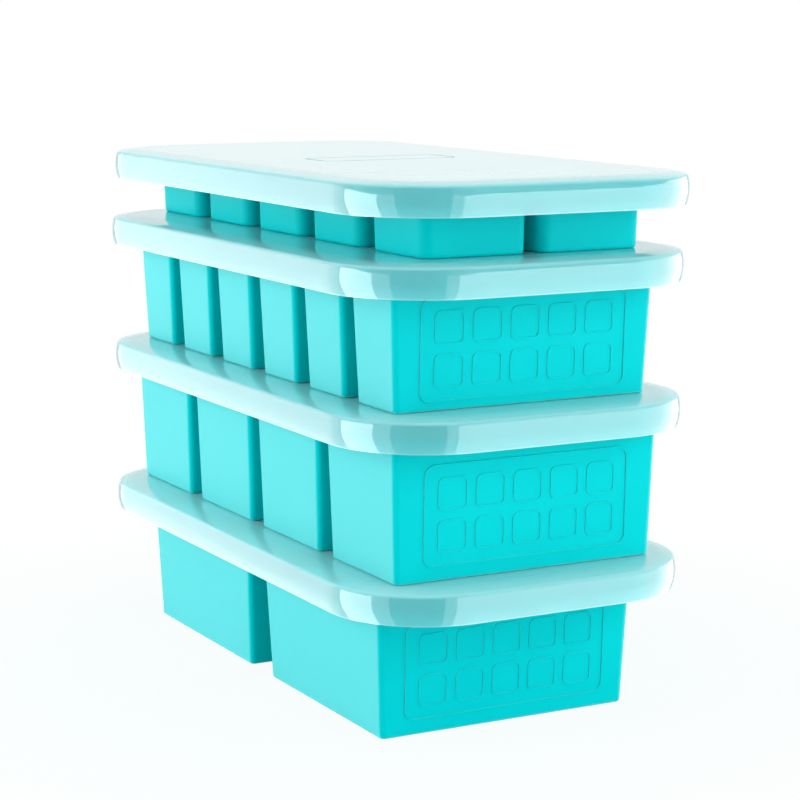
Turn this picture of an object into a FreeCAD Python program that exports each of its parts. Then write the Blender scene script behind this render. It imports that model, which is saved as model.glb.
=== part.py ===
import FreeCAD, Part
import math
import os
from FreeCAD import Vector

# A stack of four moulded freezer trays, each under its own lid.
# Millimetres. +X runs along the trays, +Z is up, and the origin is the middle of the
# stack's outline at the level of the surface that it stands on.

# Lid: one translucent cap, the same on every tray
LID_LENGTH = 270.0
LID_WIDTH = 138.7
LID_CORNER_RADIUS = 37.7
LID_HEIGHT = 11.9
LID_PLATE = 1.5
LID_WALL = 1.5
# The skirt is barrel shaped: it bulges at this height and draws in at its hem and shoulder
SKIRT_BULGE_HEIGHT = 4.6
HEM_INSET = 0.9
SHOULDER_DROP = 2.2
SHOULDER_INSET = 0.45
SHOULDER_CROWN = 0.3
# The lid's top is flat up to its border, which curves down gently to the shoulder
BORDER_INSET = 10.0
BORDER_DROP = 0.9
TOP_EDGE_INSET = 1.6
UNDERSIDE_INSET = 3.7
# A plain groove in the middle of the lid's top
LID_GROOVE_LENGTH = 22.0
LID_GROOVE_WIDTH = 58.0
LID_GROOVE_RADIUS = 5.0
LID_GROOVE_LINE = 0.9
LID_GROOVE_DEPTH = 0.3

# Tray: deck, rim and the wire inside the rim
RIM_CLEARANCE = 0.5
RIM_WIDTH = 6.0
RIM_DEPTH = 7.0
RIM_TOP_ROUND = 2.0
RIM_FOOT_ROUND = 1.6
RIM_ROOT_ROUND = 1.0
DECK_THICKNESS = 2.4
WIRE_DIAMETER = 3.0
WIRE_CLEARANCE = 0.05

# Cups: walls and roundings
CUP_WALL = 1.6
CUP_FLOOR = 2.0
CUP_FOOT_ROUND = 1.2
CAVITY_CORNER_ROUND = 3.2
CAVITY_FLOOR_ROUND = 2.6
CUP_MOUTH_ROUND = 0.7

# Fill mark inside each cup
MARK_LENGTH = 12.0
MARK_HEIGHT = 0.8
MARK_PROUD = 0.4

# Raised frame on the short ends of the three deep trays, this far in from the rim's sides,
# and the plain tiles that fill it
FRAME_SIDE_MARGIN = 24.45
FRAME_HEIGHT = 37.0
FRAME_RADIUS = 4.5
FRAME_LINE = 0.9
FRAME_PROUD = 0.45
TILE_COLUMNS = 5
TILE_ROWS = 2
TILE_GAP = 3.2
TILE_END_MARGIN = 4.7
TILE_SIDE_MARGIN = 4.0
TILE_RADIUS = 2.5
TILE_LINE = 0.7
TILE_PROUD = 0.35
RELIEF_ROOT = 0.4

# Worked out from the sizes above
AXIS_X = LID_LENGTH / 2 - LID_CORNER_RADIUS
AXIS_Y = LID_WIDTH / 2 - LID_CORNER_RADIUS
MOUTH_RADIUS = LID_CORNER_RADIUS - HEM_INSET - LID_WALL
RIM_RADIUS = MOUTH_RADIUS - RIM_CLEARANCE
WIRE_PATH_RADIUS = RIM_RADIUS - RIM_WIDTH / 2
TRAY_LENGTH = 2 * (AXIS_X + RIM_RADIUS)
TRAY_WIDTH = 2 * (AXIS_Y + RIM_RADIUS)
FRAME_LENGTH = TRAY_WIDTH - 2 * FRAME_SIDE_MARGIN

# How far cutting tools run past what they cut, and how near two levels count as one
OVERRUN = 1.0
SAME_LEVEL = 1e-4


class Tray:
    """Sizes of one tray. The margins run from the rim's edge to the cups' feet, and the cups
    share the room between them. Gaps are measured at the feet; drafts are run over rise.
    The fill marks stand mark_drop below the brim."""

    def __init__(self, name, columns, rows, end_margin, side_margin, column_gap, row_gap, height,
                 outer_draft, gap_draft, corner_round, mark_drop, frame_base, shift_x, shift_y):
        self.name = name
        self.columns = columns
        self.rows = rows
        self.cups_length = TRAY_LENGTH - 2 * end_margin
        self.cups_width = TRAY_WIDTH - 2 * side_margin
        self.column_gap = column_gap
        self.row_gap = row_gap
        self.cup_length = (self.cups_length - (columns - 1) * column_gap) / columns
        self.cup_width = (self.cups_width - (rows - 1) * row_gap) / rows
        self.height = height
        self.outer_draft = outer_draft
        self.gap_draft = gap_draft
        self.corner_round = corner_round
        self.mark_drop = mark_drop
        self.frame_base = frame_base
        self.shift_x = shift_x
        self.shift_y = shift_y


# From the bottom of the stack to its top. The shifts are how far each tray stands
# off the stack's middle; frame_base is None where the ends are plain. Filled to their
# marks, the cups hold about 473, 237, 118 and 30 ml.
TRAYS = [
    Tray("two_cup", columns=2, rows=1, end_margin=30.1, side_margin=15.45,
         column_gap=18.8, row_gap=0.0, height=58.15, outer_draft=0.042, gap_draft=0.050,
         corner_round=2.2, mark_drop=5.4, frame_base=5.3, shift_x=-2.5, shift_y=1.2),
    Tray("one_cup", columns=4, rows=1, end_margin=17.15, side_margin=13.8,
         column_gap=10.1, row_gap=0.0, height=58.9, outer_draft=0.030, gap_draft=0.027,
         corner_round=2.2, mark_drop=9.7, frame_base=5.0, shift_x=-0.5, shift_y=0.6),
    Tray("half_cup", columns=6, rows=1, end_margin=19.925, side_margin=15.3,
         column_gap=10.55, row_gap=0.0, height=51.5, outer_draft=0.042, gap_draft=0.030,
         corner_round=2.2, mark_drop=6.7, frame_base=3.0, shift_x=2.5, shift_y=-1.2),
    Tray("two_spoon", columns=5, rows=2, end_margin=16.55, side_margin=22.4,
         column_gap=9.4, row_gap=5.3, height=25.75, outer_draft=0.027, gap_draft=0.016,
         corner_round=4.5, mark_drop=2.3, frame_base=None, shift_x=2.3, shift_y=0.9),
]


def point(across, up):
    """A point of an upright section: across is measured out from a corner's axis."""
    return Vector(across, 0, up)


def line(start, end):
    return Part.LineSegment(start, end).toShape()


def arc(start, middle, end):
    return Part.Arc(start, middle, end).toShape()


def rounded_outline(corners):
    """Closed face through flat corners, each given as a point and the radius of its rounding."""
    count = len(corners)
    entries = []
    for i in range(count):
        here, radius = corners[i]
        to_last = (corners[i - 1][0] - here).normalize()
        to_next = (corners[(i + 1) % count][0] - here).normalize()
        if radius == 0:
            entries.append((here, None, here))
            continue
        half_angle = to_last.getAngle(to_next) / 2
        setback = radius / math.tan(half_angle)
        bisector = (to_last + to_next).normalize()
        middle = here + bisector * (radius / math.sin(half_angle) - radius)
        entries.append((here + to_last * setback, middle, here + to_next * setback))
    edges = []
    for i in range(count):
        start, middle, end = entries[i]
        if middle is not None:
            edges.append(arc(start, middle, end))
        edges.append(line(end, entries[(i + 1) % count][0]))
    return Part.Face(Part.Wire(edges))


def rounded_rectangle(length, width, radius):
    """Level face of the given size about the origin."""
    x = length / 2
    y = width / 2
    corners = [Vector(-x, -y, 0), Vector(x, -y, 0), Vector(x, y, 0), Vector(-x, y, 0)]
    return rounded_outline([(corner, radius) for corner in corners])


def outline_ring(length, width, radius, line_width):
    """Level face between a rounded rectangle and the same one drawn in by line_width."""
    outer = rounded_rectangle(length, width, radius)
    inner = rounded_rectangle(length - 2 * line_width, width - 2 * line_width, radius - line_width)
    return outer.cut(inner)


def join(pieces):
    return pieces[0].multiFuse(pieces[1:]).removeSplitter()


def carried_round(section):
    """Carry a section round the lid's plan: four straight runs and four quarter turns."""
    corners = [Vector(AXIS_X, -AXIS_Y, 0), Vector(AXIS_X, AXIS_Y, 0),
               Vector(-AXIS_X, AXIS_Y, 0), Vector(-AXIS_X, -AXIS_Y, 0)]
    pieces = []
    for turn in range(4):
        turned = section.copy()
        turned.rotate(Vector(0, 0, 0), Vector(0, 0, 1), 90 * turn)
        start = corners[turn]
        end = corners[(turn + 1) % 4]
        pieces.append(turned.translated(start).extrude(end - start))
        pieces.append(turned.translated(end).revolve(end, Vector(0, 0, 1), 90))
    return pieces


def middle_plate(low, high):
    """The plate inside the four corner axes, between two levels."""
    plate = Part.makeBox(2 * AXIS_X, 2 * AXIS_Y, high - low)
    plate.translate(Vector(-AXIS_X, -AXIS_Y, low))
    return plate


def lid_section():
    """Half section of the lid, from a corner's axis out to the skirt. The hem is at height 0."""
    outer = LID_CORNER_RADIUS
    shoulder_height = LID_HEIGHT - SHOULDER_DROP
    border = point(outer - BORDER_INSET, LID_HEIGHT)
    top_edge = point(outer - TOP_EDGE_INSET, LID_HEIGHT - BORDER_DROP)
    shoulder = point(outer - SHOULDER_INSET, shoulder_height)
    bulge = point(outer, SKIRT_BULGE_HEIGHT)
    hem = point(outer - HEM_INSET, 0)
    # The border's curve leaves the flat top without a kink
    run = BORDER_INSET - TOP_EDGE_INSET
    border_radius = (run ** 2 + BORDER_DROP ** 2) / (2 * BORDER_DROP)
    half_turn = math.asin(run / border_radius) / 2
    border_middle = border + point(math.sin(half_turn), math.cos(half_turn) - 1) * border_radius
    # The rounding over the shoulder stands out from the straight line between its ends
    chord = top_edge - shoulder
    outward = Vector(chord.z, 0, -chord.x).normalize()
    shoulder_middle = (top_edge + shoulder) / 2 + outward * SHOULDER_CROWN
    underside = LID_HEIGHT - LID_PLATE
    inner_hem = point(outer - HEM_INSET - LID_WALL, 0)
    inner_bulge = point(outer - LID_WALL, SKIRT_BULGE_HEIGHT)
    inner_shoulder = point(outer - SHOULDER_INSET - LID_WALL, shoulder_height)
    inner_top = point(outer - UNDERSIDE_INSET, underside)
    edges = [
        line(point(0, LID_HEIGHT), border),
        arc(border, border_middle, top_edge),
        arc(top_edge, shoulder_middle, shoulder),
        arc(shoulder, bulge, hem),
        line(hem, inner_hem),
        arc(inner_hem, inner_bulge, inner_shoulder),
        line(inner_shoulder, inner_top),
        line(inner_top, point(0, underside)),
        line(point(0, underside), point(0, LID_HEIGHT)),
    ]
    return Part.Face(Part.Wire(edges))


def make_lid():
    """Lid with its hem at height 0."""
    lid = join(carried_round(lid_section()) + [middle_plate(LID_HEIGHT - LID_PLATE, LID_HEIGHT)])
    groove = outline_ring(LID_GROOVE_LENGTH, LID_GROOVE_WIDTH, LID_GROOVE_RADIUS, LID_GROOVE_LINE)
    groove = groove.extrude(Vector(0, 0, LID_GROOVE_DEPTH + OVERRUN))
    groove.translate(Vector(0, 0, LID_HEIGHT - LID_GROOVE_DEPTH))
    return lid.cut(groove)


def rim_section(height):
    """Half section of deck and rim of a tray that is this high."""
    deck_low = height - DECK_THICKNESS
    rim_low = height - RIM_DEPTH
    return rounded_outline([
        (point(0, height), 0),
        (point(RIM_RADIUS, height), RIM_TOP_ROUND),
        (point(RIM_RADIUS, rim_low), RIM_FOOT_ROUND),
        (point(RIM_RADIUS - RIM_WIDTH, rim_low), RIM_FOOT_ROUND),
        (point(RIM_RADIUS - RIM_WIDTH, deck_low), RIM_ROOT_ROUND),
        (point(0, deck_low), 0),
    ])


def wire_ring(height, diameter):
    """Round wire bent to the rim's plan, half way down the rim."""
    centre = point(WIRE_PATH_RADIUS, height - RIM_DEPTH / 2)
    circle = Part.Circle(centre, Vector(0, 1, 0), diameter / 2).toShape()
    return join(carried_round(Part.Face(Part.Wire([circle]))))


class CupBlock:
    """One cup's four outer walls as drafted planes, so that every level's outline follows."""

    def __init__(self, tray, column, row):
        step_x = tray.cup_length + tray.column_gap
        step_y = tray.cup_width + tray.row_gap
        middle_x = (column - (tray.columns - 1) / 2) * step_x
        middle_y = (row - (tray.rows - 1) / 2) * step_y
        self.x_low = middle_x - tray.cup_length / 2
        self.x_high = middle_x + tray.cup_length / 2
        self.y_low = middle_y - tray.cup_width / 2
        self.y_high = middle_y + tray.cup_width / 2
        self.draft_left = tray.outer_draft if column == 0 else tray.gap_draft
        self.draft_right = tray.outer_draft if column == tray.columns - 1 else tray.gap_draft
        self.draft_front = tray.outer_draft if row == 0 else tray.gap_draft
        self.draft_back = tray.outer_draft if row == tray.rows - 1 else tray.gap_draft

    def outline(self, level, inset):
        """Outline at a level above the foot, drawn in by inset: x low, x high, y low, y high."""
        return (self.x_low - self.draft_left * level + inset,
                self.x_high + self.draft_right * level - inset,
                self.y_low - self.draft_front * level + inset,
                self.y_high + self.draft_back * level - inset)

    def block(self, low, high, inset):
        """Solid with flat drafted sides between two levels."""
        xa, xb, ya, yb = self.outline(low, inset)
        xc, xd, yc, yd = self.outline(high, inset)
        wedge = Part.makeWedge(xa, low, -yb, -yd, xc, xb, high, -ya, -yc, xd)
        wedge.rotate(Vector(0, 0, 0), Vector(1, 0, 0), 90)
        return wedge


def rounded_block(block, low, side_round, foot_round):
    """Round a drafted block's upright edges, then the edges round its foot."""
    uprights = [edge for edge in block.Edges
                if abs(edge.Vertexes[0].Z - edge.Vertexes[1].Z) > SAME_LEVEL]
    block = block.makeFillet(side_round, uprights)
    foot = [edge for edge in block.Edges if all(abs(v.Z - low) < SAME_LEVEL for v in edge.Vertexes)]
    return block.makeFillet(foot_round, foot)


def cup_cavity(tray, cup):
    """Room inside a cup, run on past the tray's top."""
    block = cup.block(CUP_FLOOR, tray.height + OVERRUN, CUP_WALL)
    return rounded_block(block, CUP_FLOOR, CAVITY_CORNER_ROUND, CAVITY_FLOOR_ROUND)


def fill_mark(tray, cup):
    """Short raised line on the cup's back wall."""
    level = tray.height - tray.mark_drop
    x_low, x_high, y_low, y_high = cup.outline(level, CUP_WALL)
    depth = MARK_PROUD + CUP_WALL / 2
    mark = Part.makeBox(MARK_LENGTH, depth, MARK_HEIGHT)
    middle_x = (x_low + x_high) / 2
    mark.translate(Vector(middle_x - MARK_LENGTH / 2, y_high - MARK_PROUD, level - MARK_HEIGHT / 2))
    return mark


def frame_and_tiles():
    """Raised frame with its grid of tile outlines, lying flat with its root below level 0."""
    frame = outline_ring(FRAME_LENGTH, FRAME_HEIGHT, FRAME_RADIUS, FRAME_LINE)
    solids = [frame.extrude(Vector(0, 0, RELIEF_ROOT + FRAME_PROUD))]
    room_length = FRAME_LENGTH - 2 * (FRAME_LINE + TILE_END_MARGIN)
    room_height = FRAME_HEIGHT - 2 * (FRAME_LINE + TILE_SIDE_MARGIN)
    tile_length = (room_length - (TILE_COLUMNS - 1) * TILE_GAP) / TILE_COLUMNS
    tile_height = (room_height - (TILE_ROWS - 1) * TILE_GAP) / TILE_ROWS
    tile = outline_ring(tile_length, tile_height, TILE_RADIUS, TILE_LINE)
    tile = tile.extrude(Vector(0, 0, RELIEF_ROOT + TILE_PROUD))
    for column in range(TILE_COLUMNS):
        for row in range(TILE_ROWS):
            solids.append(tile.translated(Vector(
                (column - (TILE_COLUMNS - 1) / 2) * (tile_length + TILE_GAP),
                (row - (TILE_ROWS - 1) / 2) * (tile_height + TILE_GAP), 0)))
    relief = Part.makeCompound(solids)
    relief.translate(Vector(0, 0, -RELIEF_ROOT))
    return relief


def end_relief(tray, end):
    """Frame and tiles stood against a short end's drafted wall. end is 1 for +X and -1 for -X."""
    lean = math.atan(tray.outer_draft)
    middle = tray.frame_base + FRAME_HEIGHT / 2
    along = Vector(0, end, 0)
    upward = Vector(end * math.sin(lean), 0, math.cos(lean))
    outward = Vector(end * math.cos(lean), 0, -math.sin(lean))
    relief = frame_and_tiles()
    relief.Placement = FreeCAD.Placement(
        Vector(end * (tray.cups_length / 2 + tray.outer_draft * middle), 0, middle),
        FreeCAD.Rotation(along, upward, outward)) * relief.Placement
    return relief


def round_cup_mouths(body, tray):
    """Round the edges where the cups open through the deck."""
    mouths = []
    for edge in body.Edges:
        box = edge.BoundBox
        level = abs(box.ZMin - tray.height) < SAME_LEVEL and abs(box.ZMax - tray.height) < SAME_LEVEL
        inside = max(abs(box.XMin), abs(box.XMax)) < AXIS_X + RIM_RADIUS - RIM_WIDTH
        inside = inside and max(abs(box.YMin), abs(box.YMax)) < AXIS_Y + RIM_RADIUS - RIM_WIDTH
        on_rim = any(abs(v.X) > AXIS_X and abs(v.Y) > AXIS_Y for v in edge.Vertexes)
        if level and inside and not on_rim:
            mouths.append(edge)
    return body.makeFillet(CUP_MOUTH_ROUND, mouths)


def make_tray(tray):
    """Moulded tray with its foot at level 0, and the channel that holds the rim's wire."""
    deck = carried_round(rim_section(tray.height))
    deck.append(middle_plate(tray.height - DECK_THICKNESS, tray.height))
    cups = []
    for column in range(tray.columns):
        for row in range(tray.rows):
            cups.append(CupBlock(tray, column, row))
    outsides = []
    for cup in cups:
        block = cup.block(0, tray.height - DECK_THICKNESS / 2, 0)
        outsides.append(rounded_block(block, 0, tray.corner_round, CUP_FOOT_ROUND))
    reliefs = []
    if tray.frame_base is not None:
        for end in (1, -1):
            reliefs.extend(end_relief(tray, end).Solids)
    body = join(deck + outsides + reliefs)
    body = body.cut([cup_cavity(tray, cup) for cup in cups])
    body = round_cup_mouths(body, tray)
    body = body.fuse([fill_mark(tray, cup) for cup in cups])
    return body.cut(wire_ring(tray.height, WIRE_DIAMETER + 2 * WIRE_CLEARANCE))


def write_node(shape, name):
    shape.exportStep("parts/" + name + ".step")
    print(name, "solids", len(shape.Solids), "valid", shape.isValid(), "mm3", round(shape.Volume, 1))


def main():
    os.makedirs("parts", exist_ok=True)
    # The origin stays in the middle of the stack's outline whatever the shifts are
    middle_x = (min(t.shift_x for t in TRAYS) + max(t.shift_x for t in TRAYS)) / 2
    middle_y = (min(t.shift_y for t in TRAYS) + max(t.shift_y for t in TRAYS)) / 2
    lid = make_lid()
    foot = 0.0
    for tray in TRAYS:
        place = Vector(tray.shift_x - middle_x, tray.shift_y - middle_y, foot)
        write_node(make_tray(tray).translated(place), tray.name + "_tray")
        write_node(wire_ring(tray.height, WIRE_DIAMETER).translated(place), tray.name + "_rim_wire")
        hem_level = Vector(0, 0, tray.height + LID_PLATE - LID_HEIGHT)
        write_node(lid.translated(place + hem_level), tray.name + "_lid")
        foot += tray.height + LID_PLATE


main()
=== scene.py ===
import math
import bpy
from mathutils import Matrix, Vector

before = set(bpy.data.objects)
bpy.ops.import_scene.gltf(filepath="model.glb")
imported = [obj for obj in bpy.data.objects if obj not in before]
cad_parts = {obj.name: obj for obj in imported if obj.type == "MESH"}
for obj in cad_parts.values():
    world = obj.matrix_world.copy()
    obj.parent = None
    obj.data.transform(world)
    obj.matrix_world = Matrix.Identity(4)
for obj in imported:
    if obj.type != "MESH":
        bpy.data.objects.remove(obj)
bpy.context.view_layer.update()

# A stack of four freezer trays and their lids, dressed and lit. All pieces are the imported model's
# own. Metres, in its frame: +X along the trays, +Z up, floor at 0.

# Camera
CAMERA_PLACE = Vector((0.80775, -0.42007, 0.25394))
CAMERA_AZIMUTH = math.radians(61.925)
CAMERA_ELEVATION = math.radians(9.312)
CAMERA_LENS_MM = 104.844
CAMERA_SENSOR_MM = 36.0

# Colours, linear
WHITE = (1.0, 1.0, 1.0)
SILICONE_COLOUR = (0.0008, 0.66, 0.68)
SILICONE_DEEP_COLOUR = (0.0005, 0.62, 0.65)
# Painted sheen: the silicone is blended towards this paler colour where it is seen at a slant
SILICONE_SHEEN_COLOUR = (0.125, 0.67, 0.69)
LID_SKIRT_COLOUR = (0.19, 0.75, 0.78)
# Painted shade: the lids' skirts are darkened towards this where they are seen at a slant
LID_SLANT_SHADE_COLOUR = (0.20, 0.60, 0.63)
# Painted light: the lids' level tops get this paler colour for the light that falls on them from
# above
LID_TOP_PAINTED_LIGHT_COLOUR = (0.46, 0.93, 0.95)
# Painted highlight along the lids' lower edges
LID_HEM_HIGHLIGHT_COLOUR = (0.5, 0.9, 0.92)
STEEL_COLOUR = (0.56, 0.57, 0.58)
STEEL_STREAK_COLOUR = (0.45, 0.46, 0.48)
FLOOR_COLOUR = (0.88, 0.88, 0.88)
# Painted bounce light: the floor near the stack is tinted with the stack's own colour
FLOOR_BOUNCE_COLOUR = (0.30, 0.88, 0.90)

# Floor: the painted bounce tint fades out between these distances from the middle of the stack
FLOOR_SIZE = 12.0
TINT_FULL_DISTANCE = 0.12
TINT_GONE_DISTANCE = 0.32
# Share of plain white in what the camera sees of the floor, near the stack and away from it
NEAR_WHITE_SHARE = 0.92
FAR_WHITE_SHARE = 1.0

WORLD_AMBIENT = 0.48

# Panels that only gloss shows stand round this point. The bright ones reach from below the floor
# to a little above the stack, so that the lids' flat tops don't mirror them. Dim upper ones, for
# the lids' round shoulders, stand on them.
NEAR_CORNER = Vector((0.12, -0.055, 0.0))
GLINT_REACH = 1.1
GLINT_FOOT = -1.9
GLINT_HEAD = 0.35
UPPER_GLINT_HEAD = 1.5
UPPER_GLINT_RADIANCE = 0.5

# A Mix node's sockets for colours, by number, because the names repeat for other kinds of data
MIX_FIRST = 6
MIX_SECOND = 7
MIX_RESULT = 2


def rgba(colour):
    return (*colour, 1.0)


class Shader:
    """A material's node tree with one Principled shader, and short calls to add nodes to it."""

    def __init__(self, name):
        self.material = bpy.data.materials.new(name)
        self.material.use_nodes = True
        self.tree = self.material.node_tree
        self.surface = self.tree.nodes["Principled BSDF"]
        self.output = self.tree.nodes["Material Output"]

    def node(self, kind, **settings):
        made = self.tree.nodes.new(kind)
        for key, value in settings.items():
            setattr(made, key, value)
        return made

    def link(self, source, target):
        self.tree.links.new(source, target)

    def place(self):
        """The surface's own coordinates, in metres."""
        return self.node("ShaderNodeTexCoord").outputs["Object"]

    def upward(self, vector):
        """The vector's Z part."""
        parts = self.node("ShaderNodeSeparateXYZ")
        self.link(vector, parts.inputs["Vector"])
        return parts.outputs["Z"]

    def slant(self):
        """0 where the surface faces the eye, rising to 1 where it is seen edge on."""
        return self.node("ShaderNodeLayerWeight").outputs["Facing"]

    def noise(self, scale, detail):
        """Noise, mostly from 0.3 to 0.7. scale counts its waves in a metre."""
        made = self.node("ShaderNodeTexNoise")
        made.inputs["Scale"].default_value = scale
        made.inputs["Detail"].default_value = detail
        self.link(self.place(), made.inputs["Vector"])
        return made.outputs["Fac"]

    def spread(self, value, low, high, source_low=0.3, source_high=0.7):
        """The value carried from its source range, at first noise's own, to the range low to high."""
        made = self.node("ShaderNodeMapRange")
        made.inputs["From Min"].default_value = source_low
        made.inputs["From Max"].default_value = source_high
        made.inputs["To Min"].default_value = low
        made.inputs["To Max"].default_value = high
        self.link(value, made.inputs["Value"])
        return made.outputs["Result"]

    def blend(self, factor, first, second):
        """Colour between first and second, each a colour or another node's output."""
        made = self.node("ShaderNodeMix", data_type="RGBA")
        for slot, colour in ((made.inputs[MIX_FIRST], first), (made.inputs[MIX_SECOND], second)):
            if isinstance(colour, tuple):
                slot.default_value = rgba(colour)
            else:
                self.link(colour, slot)
        self.link(factor, made.inputs["Factor"])
        return made.outputs[MIX_RESULT]

    def bump(self, height, depth):
        """Bump of that depth in metres."""
        made = self.node("ShaderNodeBump")
        made.inputs["Strength"].default_value = 1.0
        made.inputs["Distance"].default_value = depth
        self.link(height, made.inputs["Height"])
        return made.outputs["Normal"]

    def set(self, **values):
        for key, value in values.items():
            self.surface.inputs[key.replace("_", " ")].default_value = value

    def feed(self, **sources):
        for key, source in sources.items():
            self.link(source, self.surface.inputs[key.replace("_", " ")])


def silicone_material(name, painted_sheen):
    """Soft satin silicone, a little cloudy in its colour, with the fine grain of its mould, and a
    painted sheen.
    painted_sheen is how much it is painted paler where it is seen at a slant, standing in for sheen."""
    shader = Shader(name)
    shader.set(Specular_IOR_Level=0.02, IOR=1.41)
    cloud = shader.spread(shader.noise(scale=14.0, detail=2.0), low=0.0, high=1.0)
    colour = shader.blend(cloud, SILICONE_COLOUR, SILICONE_DEEP_COLOUR)
    # Painted sheen: paler where the silicone is seen at a slant
    pale = shader.spread(shader.slant(), low=0.0, high=painted_sheen, source_low=0.22, source_high=0.48)
    shader.feed(Base_Color=shader.blend(pale, colour, SILICONE_SHEEN_COLOUR))
    grain = shader.noise(scale=900.0, detail=3.0)
    shader.feed(Roughness=shader.spread(grain, low=0.36, high=0.42))
    shader.feed(Normal=shader.bump(grain, depth=0.00002))
    return shader.material


def lid_material():
    """Milky translucent plastic with a glossy face. The flat top lets less light through than the
    skirt and is painted paler, as painted light from above; the hem has a painted highlight."""
    shader = Shader("milky_plastic")
    shader.set(IOR=1.15, Specular_IOR_Level=0.15)
    shader.set(Coat_Weight=1.0, Coat_Roughness=0.03, Coat_IOR=1.5)

    # 0 on the upright skirt, 1 on the level top
    normal = shader.node("ShaderNodeNewGeometry").outputs["Normal"]
    evenness = shader.node("ShaderNodeMath", operation="ABSOLUTE")
    shader.link(shader.upward(normal), evenness.inputs[0])
    level = shader.spread(evenness.outputs[0], low=0.0, high=1.0, source_low=0.15, source_high=0.98)
    shader.feed(Transmission_Weight=shader.spread(
        level, low=0.6, high=0.2, source_low=0.0, source_high=1.0))

    # 1 at the skirt's lower edge, 0 a little above it: where the hem's painted highlight goes
    rise = shader.upward(shader.node("ShaderNodeTexCoord").outputs["Generated"])
    hem = shader.spread(rise, low=1.0, high=0.0, source_low=0.02, source_high=0.05)

    # Painted shade: the skirt is darker where it is seen at a slant
    slant = shader.spread(shader.slant(), low=0.0, high=1.0, source_low=0.25, source_high=0.5)
    skirt = shader.blend(slant, LID_SKIRT_COLOUR, LID_SLANT_SHADE_COLOUR)
    # Painted highlight along the hem
    skirt = shader.blend(hem, skirt, LID_HEM_HIGHLIGHT_COLOUR)
    # Painted light: the level top is painted paler
    shader.feed(Base_Color=shader.blend(level, skirt, LID_TOP_PAINTED_LIGHT_COLOUR))

    grain = shader.noise(scale=600.0, detail=2.0)
    shader.feed(Roughness=shader.spread(grain, low=0.5, high=0.56))
    ripple = shader.bump(shader.noise(scale=30.0, detail=1.0), depth=0.00004)
    shader.feed(Normal=ripple, Coat_Normal=ripple)
    return shader.material


def steel_material():
    """Drawn steel wire."""
    shader = Shader("drawn_steel")
    shader.set(Metallic=1.0)
    streak = shader.noise(scale=500.0, detail=3.0)
    shader.feed(Base_Color=shader.blend(streak, STEEL_COLOUR, STEEL_STREAK_COLOUR))
    shader.feed(Roughness=shader.spread(streak, low=0.25, high=0.4))
    return shader.material


def dress_nodes():
    """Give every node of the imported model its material."""
    silicone = silicone_material("satin_silicone", painted_sheen=1.0)
    # The same silicone without the painted sheen, for the tray that sits in the top lid's shade
    shaded_silicone = silicone_material("shaded_satin_silicone", painted_sheen=0.0)
    lid = lid_material()
    steel = steel_material()
    for name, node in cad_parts.items():
        node.data.materials.clear()
        if name.endswith("_lid"):
            node.data.materials.append(lid)
        elif name.endswith("_wire"):
            node.data.materials.append(steel)
        # The two-spoon tray is in the top lid's shade, so its copy has no painted sheen
        elif name == "two_spoon_tray":
            node.data.materials.append(shaded_silicone)
        else:
            node.data.materials.append(silicone)


def add_floor():
    """Pale floor that the camera sees as white, apart from the stack's soft shadow and a painted cyan
    bounce near it.
    """
    bpy.ops.mesh.primitive_plane_add(size=FLOOR_SIZE)
    floor = bpy.context.object
    floor.name = "floor"
    shader = Shader("pale_floor")
    distance = shader.node("ShaderNodeVectorMath", operation="LENGTH")
    shader.link(shader.place(), distance.inputs[0])
    away = shader.spread(distance.outputs["Value"], low=0.0, high=1.0,
                         source_low=TINT_FULL_DISTANCE, source_high=TINT_GONE_DISTANCE)
    # Painted bounce light: the stack's colour on the floor near it
    shader.feed(Base_Color=shader.blend(away, FLOOR_BOUNCE_COLOUR, FLOOR_COLOUR))
    shader.set(Roughness=0.7, Specular_IOR_Level=0.2)

    # Only the camera's own rays meet the white share
    glow = shader.node("ShaderNodeEmission")
    path = shader.node("ShaderNodeLightPath")
    share = shader.node("ShaderNodeMath", operation="MULTIPLY")
    white = shader.spread(away, low=NEAR_WHITE_SHARE, high=FAR_WHITE_SHARE,
                          source_low=0.0, source_high=1.0)
    shader.link(white, share.inputs[1])
    shader.link(path.outputs["Is Camera Ray"], share.inputs[0])
    mix = shader.node("ShaderNodeMixShader")
    shader.link(share.outputs[0], mix.inputs["Fac"])
    shader.link(shader.surface.outputs["BSDF"], mix.inputs[1])
    shader.link(glow.outputs["Emission"], mix.inputs[2])
    shader.link(mix.outputs["Shader"], shader.output.inputs["Surface"])
    floor.data.materials.append(shader.material)
    floor.visible_glossy = False


def add_world():
    """Even pale surroundings: white to the eye, softer as a light."""
    world = bpy.data.worlds.new("studio")
    bpy.context.scene.world = world
    world.use_nodes = True
    nodes = world.node_tree.nodes
    links = world.node_tree.links
    path = nodes.new("ShaderNodeLightPath")
    seen = path.outputs["Is Camera Ray"]
    for ray in ("Is Glossy Ray", "Is Transmission Ray"):
        either = nodes.new("ShaderNodeMath")
        either.operation = "MAXIMUM"
        links.new(seen, either.inputs[0])
        links.new(path.outputs[ray], either.inputs[1])
        seen = either.outputs[0]
    strength = nodes.new("ShaderNodeMapRange")
    strength.inputs["To Min"].default_value = WORLD_AMBIENT
    strength.inputs["To Max"].default_value = 1.0
    links.new(seen, strength.inputs["Value"])
    background = nodes["Background"]
    background.inputs["Color"].default_value = rgba(WHITE)
    links.new(strength.outputs["Result"], background.inputs["Strength"])


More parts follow.
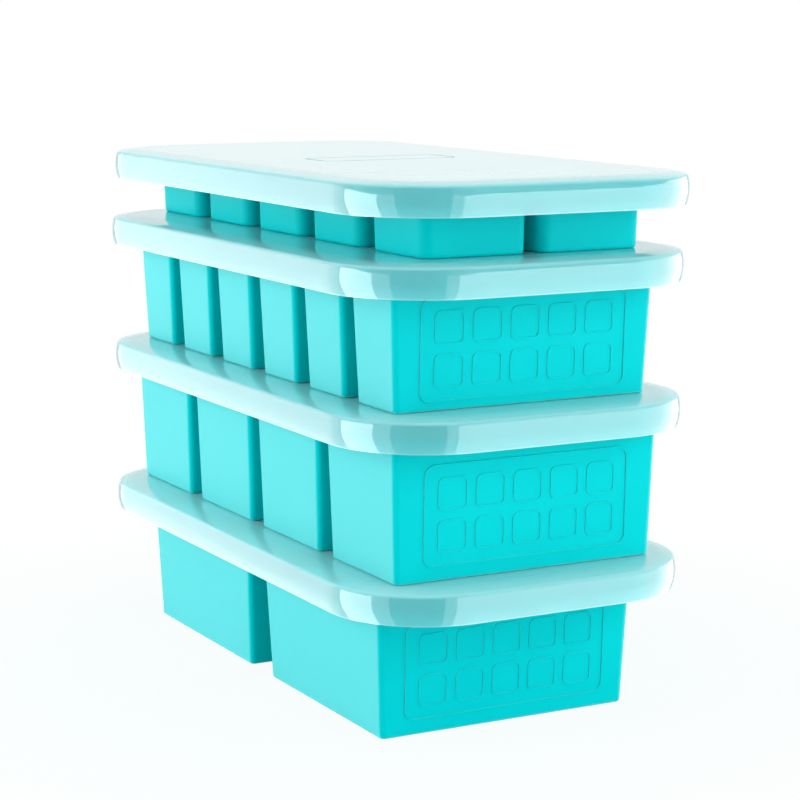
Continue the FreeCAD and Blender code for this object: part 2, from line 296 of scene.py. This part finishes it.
def add_softbox(name, place, target, width, height, radiance):
    """Rectangular lamp facing target. radiance is in the units in which a lit white is 1."""
    light = bpy.data.lights.new(name, "AREA")
    light.shape = "RECTANGLE"
    light.size = width
    light.size_y = height
    light.energy = radiance * math.pi * width * height
    lamp = bpy.data.objects.new(name, light)
    bpy.context.scene.collection.objects.link(lamp)
    lamp.location = place
    lamp.rotation_mode = "QUATERNION"
    lamp.rotation_quaternion = (Vector(target) - Vector(place)).to_track_quat("-Z", "Y")
    lamp.visible_camera = False
    return lamp


def add_glint(name, azimuth_from, azimuth_to, radiance, foot, head):
    """Upright panel that only gloss shows, between two azimuths in degrees, seen from the lids'
    near corners, and two heights. It draws one upright band in the lids' skirts."""
    azimuth = math.radians((azimuth_from + azimuth_to) / 2)
    half_span = math.radians((azimuth_to - azimuth_from) / 2)
    width = 2 * GLINT_REACH * math.tan(half_span)
    outward = Vector((math.cos(azimuth), math.sin(azimuth), 0.0)) * GLINT_REACH
    target = NEAR_CORNER + Vector((0.0, 0.0, (foot + head) / 2))
    panel = add_softbox(name, target + outward, target, width, head - foot, radiance)
    panel.visible_diffuse = False
    panel.visible_transmission = False


def add_lights():
    """Softboxes that light the stack without showing in its gloss, and the glints' panels."""
    softboxes = [
        add_softbox("left_softbox", place=(-0.15, -0.95, 0.34), target=(0.10, 0.0, 0.12),
                    width=0.72, height=0.66, radiance=3.35),
        add_softbox("far_left_softbox", place=(-0.85, -0.50, 0.22), target=(0.0, 0.0, 0.10),
                    width=0.62, height=0.44, radiance=1.8),
        add_softbox("right_softbox", place=(0.89, 0.52, 0.40), target=(0.10, 0.0, 0.12),
                    width=1.06, height=0.80, radiance=2.6),
        add_softbox("top_softbox", place=(0.0, 0.0, 1.2), target=(0.0, 0.0, 0.0),
                    width=1.0, height=1.0, radiance=1.0)]
    for softbox in softboxes:
        softbox.visible_glossy = False
    for name, azimuth_from, azimuth_to, radiance in (
            ("far_left_glint", -174.0, -131.0, 2.5),
            ("left_glint", -130.0, -86.0, 8.4),
            ("left_edge_glint", -86.0, -65.0, 2.2),
            ("right_edge_glint", -4.0, 9.0, 2.0),
            ("right_glint", 9.0, 67.0, 5.0),
            ("far_right_glint", 67.0, 118.0, 4.6)):
        add_glint(name, azimuth_from, azimuth_to, radiance, GLINT_FOOT, GLINT_HEAD)
        add_glint("upper_" + name, azimuth_from, azimuth_to, UPPER_GLINT_RADIANCE,
                  GLINT_HEAD, UPPER_GLINT_HEAD)


def add_camera():
    """Camera fitted to the photograph's view."""
    camera = bpy.data.objects.new("camera", bpy.data.cameras.new("camera"))
    bpy.context.scene.collection.objects.link(camera)
    camera.data.lens = CAMERA_LENS_MM
    camera.data.sensor_width = CAMERA_SENSOR_MM
    camera.location = CAMERA_PLACE
    back = Vector((math.sin(CAMERA_AZIMUTH) * math.cos(CAMERA_ELEVATION),
                   -math.cos(CAMERA_AZIMUTH) * math.cos(CAMERA_ELEVATION),
                   math.sin(CAMERA_ELEVATION)))
    camera.rotation_mode = "QUATERNION"
    camera.rotation_quaternion = (-back).to_track_quat("-Z", "Y")
    bpy.context.scene.camera = camera


def main():
    bpy.context.scene.view_settings.view_transform = "Standard"
    add_camera()
    dress_nodes()
    add_floor()
    add_world()
    add_lights()


main()
